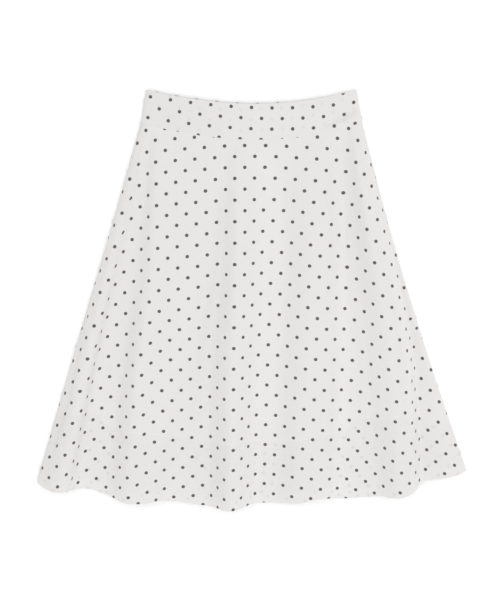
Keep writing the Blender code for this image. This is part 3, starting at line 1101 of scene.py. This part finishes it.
def front_panel_cloth():
    """Outer side of the front: print, the layers under it that show faintly, and its painted light and shade.
    """
    material, tree, shader, printed, colour = cloth_start("front_dotted_cloth", OUTER_ROUGHNESS, OUTER_RELIEF)
    from_hem, above_lining = parts(tree, uv_place(tree, "edges"))[:2]
    tone, height = parts(tree, uv_place(tree, "painted_light_and_height"))[:2]
    # Painted light and shade from the map, as a factor on the cloth's colour
    colour = shaded(tree, colour, calc(tree, "ADD", tone, 1.0))
    unlined = ramp(tree, above_lining, -UNLINED_BLUR, UNLINED_BLUR, 1.0, 0.0)
    line_start = ramp(tree, above_lining, -LINE_BLUR, LINE_BLUR)
    line_end = ramp(tree, above_lining, *LINE_FADE, 1.0, 0.0)
    patchy = ramp(tree, noise(tree, printed, PATCH_FINENESS, 1.0), *PATCH_EDGES)
    line = product(tree, line_start, line_end, calc(tree, "MULTIPLY_ADD", patchy, PATCHES_SHOWN, LINE_SHOWN))
    back_dots = dots(tree, uv_place(tree, "print_below"), BACK_STEPS, COVERED_SOFTNESS)
    back_dots = product(tree, back_dots, unlined, ramp(tree, height, *LYING_LOW, *BACK_DOTS_SHOWN))
    turn_up = turned_up(tree, from_hem, COVERED_HEM_BLUR)
    hem_dots = dots(tree, moved(tree, printed, HEM_SHIFT), PANEL_STEPS, COVERED_SOFTNESS)
    layered(tree, shader, colour, (
        (product(tree, unlined, UNLINED_DARKER), BLACK),
        (line, DOUBLED_COLOUR),
        (back_dots, COVERED_DOT_COLOUR),
        (product(tree, hem_dots, turn_up, HEM_DOTS_SHOWN), COVERED_DOT_COLOUR),
        (product(tree, turn_up, HEM_PALER), DOUBLED_COLOUR),
        (dots(tree, printed, PANEL_STEPS), DOT_COLOUR),
    ))
    return material


def outer_cloth(name, steps, over_facing=False):
    """Outer side of the back panel or of a band. A band gets painted shade towards its left end, and its facing
    shows faintly through it.
    """
    material, tree, shader, printed, colour = cloth_start(name, OUTER_ROUGHNESS, OUTER_RELIEF)
    if over_facing:
        # Painted shade from the band's map, as a factor on the cloth's colour
        tone = parts(tree, uv_place(tree, "painted_light_and_height"))["X"]
        colour = shaded(tree, colour, calc(tree, "ADD", tone, 1.0))
        facing_place = moved(tree, printed, FACING_SHIFT, FACING_TURN_DEG)
        facing_dots = product(tree, dots(tree, facing_place, steps, FACING_SOFTNESS), FACING_DOTS_SHOWN)
        colour = mix_colour(tree, facing_dots, colour, COVERED_DOT_COLOUR)
    layered(tree, shader, colour, [(dots(tree, printed, steps), DOT_COLOUR)])
    return material


def inner_cloth():
    """Inner side of a panel: the print's paler reverse, the turned-up hem, and the lining."""
    material, tree, shader, printed, plain = cloth_start("panel_inside", INNER_ROUGHNESS, INNER_RELIEF)
    from_hem, above_lining = parts(tree, uv_place(tree, "edges"))[:2]
    reverse = product(tree, dots(tree, printed, PANEL_STEPS, REVERSE_SOFTNESS), REVERSE_SHOWN)
    turn_up = turned_up(tree, from_hem, HEM_BLUR)
    hem_dots = dots(tree, moved(tree, printed, HEM_SHIFT), PANEL_STEPS)
    layered(tree, shader, plain, (
        (reverse, COVERED_DOT_COLOUR),
        (turn_up, plain),
        (product(tree, hem_dots, turn_up), DOT_COLOUR),
        (ramp(tree, above_lining, -LINED_BLUR, LINED_BLUR), LINING_COLOUR),
    ))
    return material


# The plan's middle in the row frame: halfway between the side corners, and from the band's top corners
plan_x = sum(side_places(X_HEM)) / 2.0
plan_y = TOP_MID_Y + TOP_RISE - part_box("front_waistband")[1].y / MM
PLAN_CENTRE = np.array((plan_x, plan_y, 0.0))

GROUPS = {"dots": dots_group(), "weave": weave_group(), "tone": tone_group()}

# Front panel: folds of the solid, then the seam's dip, puckers, soft creases and slight waves
front_base = front_surface()
below_seam = distance_from_end(front_base, 0, 0)
above_hem = distance_from_end(front_base, 0, -1)
from_side = distance_from_sides(front_base)
relief = crease_heights(front_base, PANEL_CREASES) + pucker_heights(front_base, below_seam)
relief += soft_waves(front_base, *PANEL_WAVES) * smooth_step(0.0, WAVES_BELOW_SEAM, below_seam)
relief -= SEAM_DIP * bell(below_seam, SEAM_DIP_REACH)
front_middle = raised(front_base, 0, relief * smooth_step(0.0, PANEL_FROM_SIDE, from_side))
front_z = front_middle[:, :, 2]
front_wall = PANEL_WALL + (BAND_WALL - PANEL_WALL) * smooth_fall(0.0, SEAM_THICK_REACH, below_seam)
front_wall += (HEM_WALL - PANEL_WALL) * smooth_fall(HEM_TURN_UP, HEM_TURN_UP + HEM_STEP, above_hem)
lining_x = column(LINING_END, 0)
hem_x = np.clip(front_base[-1, :, 0], lining_x[0], lining_x[-1])
above_lining = above_hem - curve(lining_x, column(LINING_END, 1), hem_x, True)

# Painted light and shade on the front: painted light where it lies low on the layers below and in its hollows,
# painted light or shade in its strips, painted shade along its left side and under its seam
from_left = distance_from_end(front_base, 1, 0)
left_reach = LEFT_SIDE_AT_SEAM + (LEFT_SIDE_AT_HEM - LEFT_SIDE_AT_SEAM) * row_shares()[:, None]
front_painted_shading = BACKED_PAINTED_LIGHT * smooth_fall(*BACKED_HEIGHTS, front_z) * smooth_step(*BACKED_FROM_SIDE, from_side)
front_painted_shading += HOLLOW_PAINTED_LIGHT * hollows(front_base) + painted_light_strips()
front_painted_shading -= LEFT_SHADE * smooth_fall(0.0, LEFT_SHADE_WIDTH, from_left)
front_painted_shading -= LEFT_SIDE_PAINTED_SHADE * smooth_fall(0.5 * left_reach, left_reach, from_left)
front_painted_shading -= SEAM_PAINTED_SHADE * smooth_fall(0.0, SEAM_PAINTED_SHADE_REACH, below_seam)

front_flat = laid_out(front_base)
front_maps = {
    "print_place": front_print(front_base, front_flat),
    "edges": paired(above_hem, above_lining),
    "print_below": back_print(front_base),
    "painted_light_and_height": paired(front_painted_shading / MM, front_z),
}
front_outer = front_panel_cloth()
inside = inner_cloth()
front_panel = cloth_shell("front_panel_cloth", front_middle, front_wall, front_maps, 0, (front_outer, inside))

# Back panel: flat under the front, its printed side down
back_base = back_surface()
back_above_hem = distance_from_end(back_base, 0, -1)
back_side = distance_from_sides(back_base)
back_relief = crease_heights(back_base, BACK_CREASES) * smooth_step(*BACK_FROM_SIDE, back_side)
back_middle = raised(back_base, 0, back_relief)
back_maps = {
    "print_place": back_print(back_base),
    "edges": paired(back_above_hem, back_above_hem - BACK_LINING_END),
}
back_outer = outer_cloth("back_dotted_cloth", BACK_STEPS)
back_panel = cloth_shell("back_panel_cloth", back_middle, PANEL_WALL, back_maps, 0, (inside, back_outer))

# Front band: dips to the seam, round top edge, pull creases at its right end
band_base = front_band_surface()
band_from_top = distance_from_end(band_base, 0, 0)
band_from_seam = distance_from_end(band_base, 0, -1)
band_side = distance_from_sides(band_base)
band_relief = crease_heights(band_base, BAND_CREASES) + soft_waves(band_base, *BAND_WAVES)
band_relief *= smooth_step(0.0, BAND_FROM_SEAM, band_from_seam)
band_relief -= SEAM_DIP * bell(band_from_seam, SEAM_DIP_REACH)
band_relief -= TOP_EDGE_FALL * bell(band_from_top, TOP_EDGE_REACH)
band_middle = raised(band_base, -1, band_relief * smooth_step(0.0, BAND_FROM_SIDE, band_side))
band_wall = BAND_WALL * (1.0 - BAND_TOP_THINNER * bell(band_from_top, BAND_TOP_REACH))
# Painted shade: the band darker towards its left end and along its left edge
band_painted_shade = -BAND_LEFT_PAINTED_SHADE * smooth_fall(*BAND_LEFT_PLACES, band_base[:, :, 0])
band_painted_shade -= BAND_LEFT_SHADE * smooth_fall(0.0, LEFT_SHADE_WIDTH, distance_from_end(band_base, 1, 0))
band_maps = {"print_place": band_print(band_base), "painted_light_and_height": paired(band_painted_shade / MM, band_base[:, :, 2])}
band_outer = outer_cloth("band_dotted_cloth", BAND_STEPS, True)
facing = outer_cloth("band_facing_cloth", BAND_STEPS)
front_band = cloth_shell("front_waistband_cloth", band_middle, band_wall, band_maps, -1, (band_outer, facing))

# Back band: flat on the floor, its facing upwards, its top edge a little raised
back_band_base = back_band_surface()
back_band_top = distance_from_end(back_band_base, 0, 0)
back_band_side = distance_from_sides(back_band_base)
back_band_relief = BACK_TOP_EDGE_RISE * bell(back_band_top, TOP_EDGE_REACH)
back_band_relief *= smooth_step(*BACK_BAND_FROM_SIDE, back_band_side)
back_band_middle = raised(back_band_base, -1, back_band_relief)
back_band_maps = {
    "print_place": band_print(back_band_base) - BACK_BAND_SHIFT,
    "painted_light_and_height": np.zeros(back_band_base.shape[:2] + (2,)),
}
back_band = cloth_shell(
    "back_waistband_cloth", back_band_middle, BAND_WALL, back_band_maps, -1, (facing, band_outer)
)

# Every piece rides on the one body and stands for its solid, which is hidden
SHEETS = (
    (front_panel, "front_panel", "panel_cloth", front_flat, ["back_panel_cloth"]),
    (back_panel, "back_panel", "panel_cloth", back_base[:, :, :2], ["floor"]),
    (front_band, "front_waistband", "band_cloth", band_base[:, :, :2], ["back_waistband_cloth"]),
    (back_band, "back_waistband", "band_cloth", back_band_base[:, :, :2], ["floor"]),
)
for piece, solid, slot_name, flat_cut, under in SHEETS:
    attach(piece, "root")
    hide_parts(solid)

# Floor
floor_mesh = bpy.data.meshes.new("floor")
corners = [(x * FLOOR_HALF, y * FLOOR_HALF, FLOOR_Z) for x, y in FLOOR_CORNERS]
floor_mesh.from_pydata(corners, [], [range(len(corners))])
floor_finish = new_finish("pale_floor", {
    "Base Color": (*FLOOR_COLOUR, 1.0),
    "Roughness": 1.0,
    "Specular IOR Level": 0.0,
})
floor_mesh.materials.append(floor_finish[0])
linked("floor", floor_mesh)

# Surroundings and lights
world = bpy.data.worlds.new("studio")
world.use_nodes = True
background = world.node_tree.nodes["Background"]
background.inputs["Color"].default_value = WORLD_COLOUR
background.inputs["Strength"].default_value = WORLD_STRENGTH
bpy.context.scene.world = world
for name, place, size, power in LIGHTS:
    lamp = bpy.data.lights.new(name, "AREA")
    lamp.shape = "SQUARE"
    lamp.size = size
    lamp.energy = power
    stand = linked(name, lamp)
    stand.location = place
    stand.rotation_mode = "QUATERNION"
    stand.rotation_quaternion = (-stand.location).to_track_quat("-Z", "Y")

# Camera over the plan's origin, tilted back from straight down
tilt = math.radians(CAMERA_TILT_DEG)
aim = -PLAN_CENTRE * MM
camera_data = bpy.data.cameras.new("camera")
camera_data.lens = CAMERA_LENS
camera_data.sensor_width = SENSOR_WIDTH
camera = linked("camera", camera_data)
camera.location = (
    aim[0], aim[1] + CAMERA_DISTANCE * math.sin(tilt), CAMERA_DISTANCE * math.cos(tilt)
)
camera.rotation_euler = (-tilt, 0.0, 0.0)
bpy.context.scene.camera = camera
bpy.context.scene.view_settings.view_transform = "Standard"
